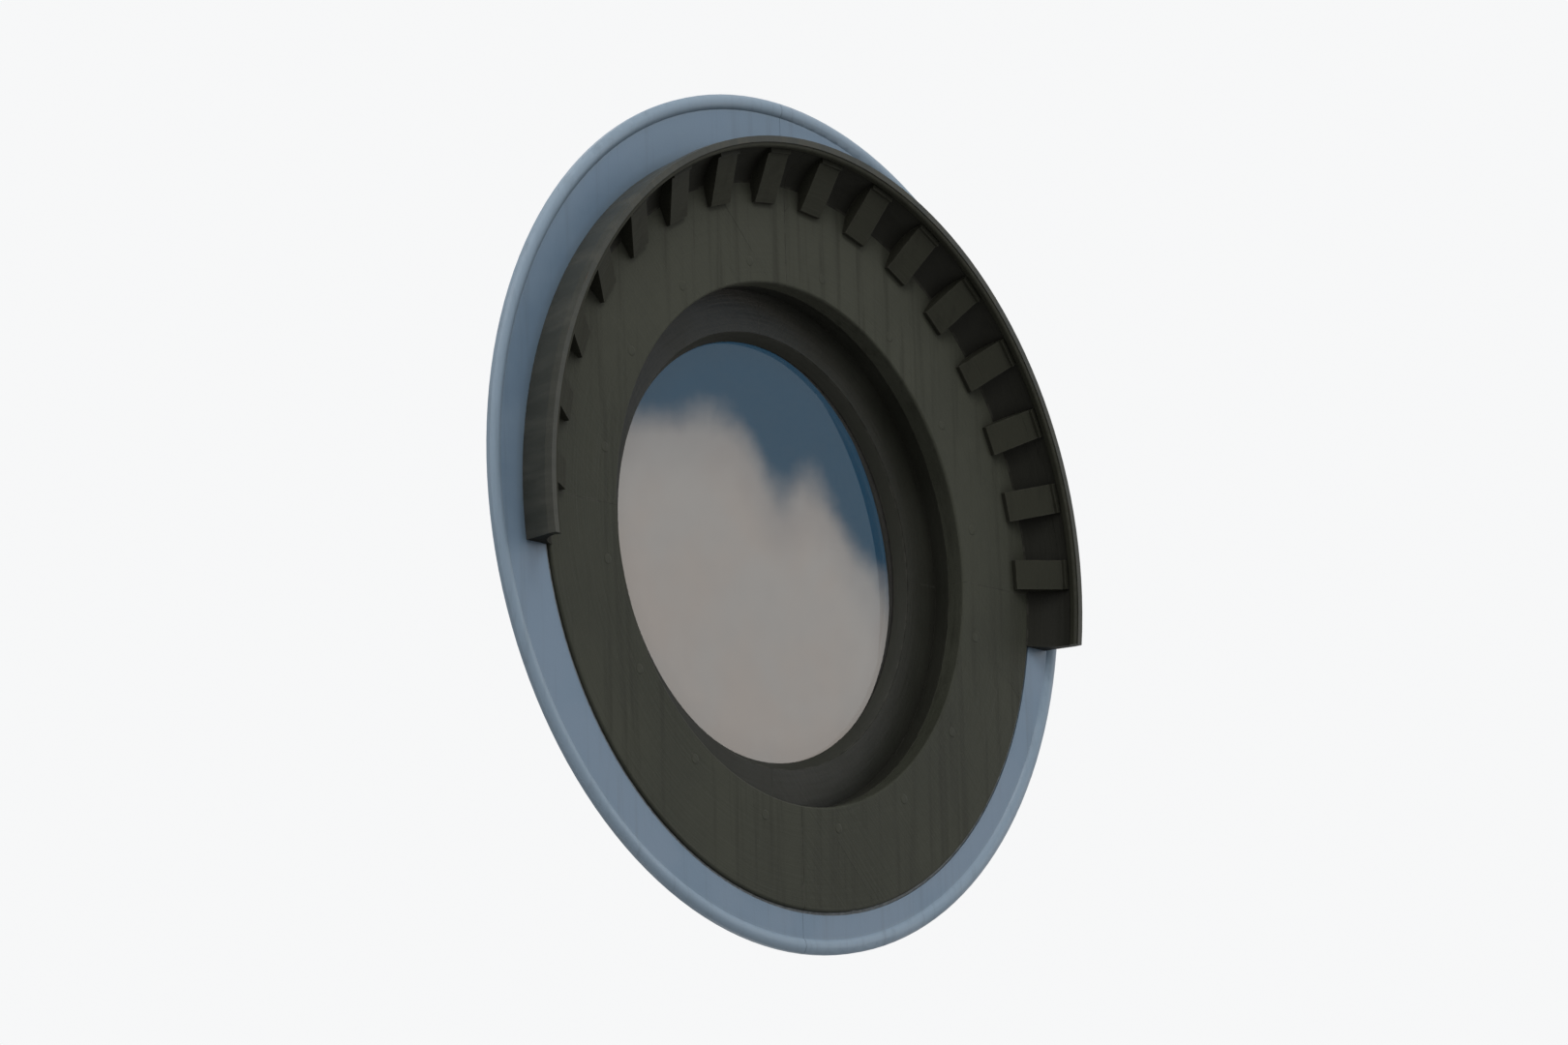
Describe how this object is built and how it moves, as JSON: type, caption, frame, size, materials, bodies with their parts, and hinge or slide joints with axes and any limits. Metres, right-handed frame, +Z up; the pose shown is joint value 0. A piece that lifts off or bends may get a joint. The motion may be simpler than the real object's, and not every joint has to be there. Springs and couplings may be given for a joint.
{
  "type": "round window",
  "caption": "Round attic window: fixed glazed sash in a jamb, flat casing ring, dentilled half-round hood and pale siding trim.",
  "frame": {"origin": "on the window's axis, in the plane of the wall's face that the casing's back bears on", "axes": "+Y into the wall along the window's axis, +Z up, so the outside faces -Y"},
  "size_m": [0.974, 0.184, 0.974],
  "materials": {
    "casing_paint": "weathered olive paint on flat boards",
    "hood_paint": "weathered olive paint, dirty under the hood",
    "sash_paint": "satin olive paint",
    "inside_paint": "satin off-white paint on the room side",
    "jamb_wood": "bare softwood",
    "bare_wood": "bare hardwood tongues",
    "trim_plastic": "weathered pale plastic board",
    "flashing_metal": "dark painted sheet, chalked",
    "pane_glass": "clear window glass",
    "putty": "painted linseed putty",
    "zinc": "zinc points",
    "screw_steel": "plated steel",
    "setting_rubber": "black rubber",
    "sealant": "grey sealant"
  },
  "bodies": {
    "root": {"casing_bottom_left": "casing_paint", "casing_bottom_right": "casing_paint", "casing_screws": "screw_steel", "casing_tongues": "bare_wood", "casing_top_left": "casing_paint", "casing_top_right": "casing_paint", "dentil_01": "hood_paint", "dentil_02": "hood_paint", "dentil_03": "hood_paint", "dentil_04": "hood_paint", "dentil_05": "hood_paint", "dentil_06": "hood_paint", "dentil_07": "hood_paint", "dentil_08": "hood_paint", "dentil_09": "hood_paint", "dentil_10": "hood_paint", "dentil_11": "hood_paint", "dentil_12": "hood_paint", "dentil_13": "hood_paint", "dentil_14": "hood_paint", "dentil_15": "hood_paint", "dentil_16": "hood_paint", "glass_pane": "pane_glass", "glazing_points": "zinc", "hood_cap_left": "hood_paint", "hood_cap_right": "hood_paint", "hood_flashing": "flashing_metal", "hood_ring_left": "hood_paint", "hood_ring_right": "hood_paint", "inner_stop_left": "inside_paint", "inner_stop_right": "inside_paint", "jamb_bottom": "jamb_wood", "jamb_left": "jamb_wood", "jamb_right": "jamb_wood", "jamb_tongues": "bare_wood", "jamb_top": "jamb_wood", "outer_stop_left": "sash_paint", "outer_stop_right": "sash_paint", "putty_bead": "putty", "sash_rim_bottom_left": "sash_paint", "sash_rim_bottom_right": "sash_paint", "sash_rim_top_left": "sash_paint", "sash_rim_top_right": "sash_paint", "sash_tongues": "bare_wood", "sealant_bead": "sealant", "setting_blocks": "setting_rubber", "stop_screws": "screw_steel", "trim_left": "trim_plastic", "trim_right": "trim_plastic"}
  },
  "joints": []
}
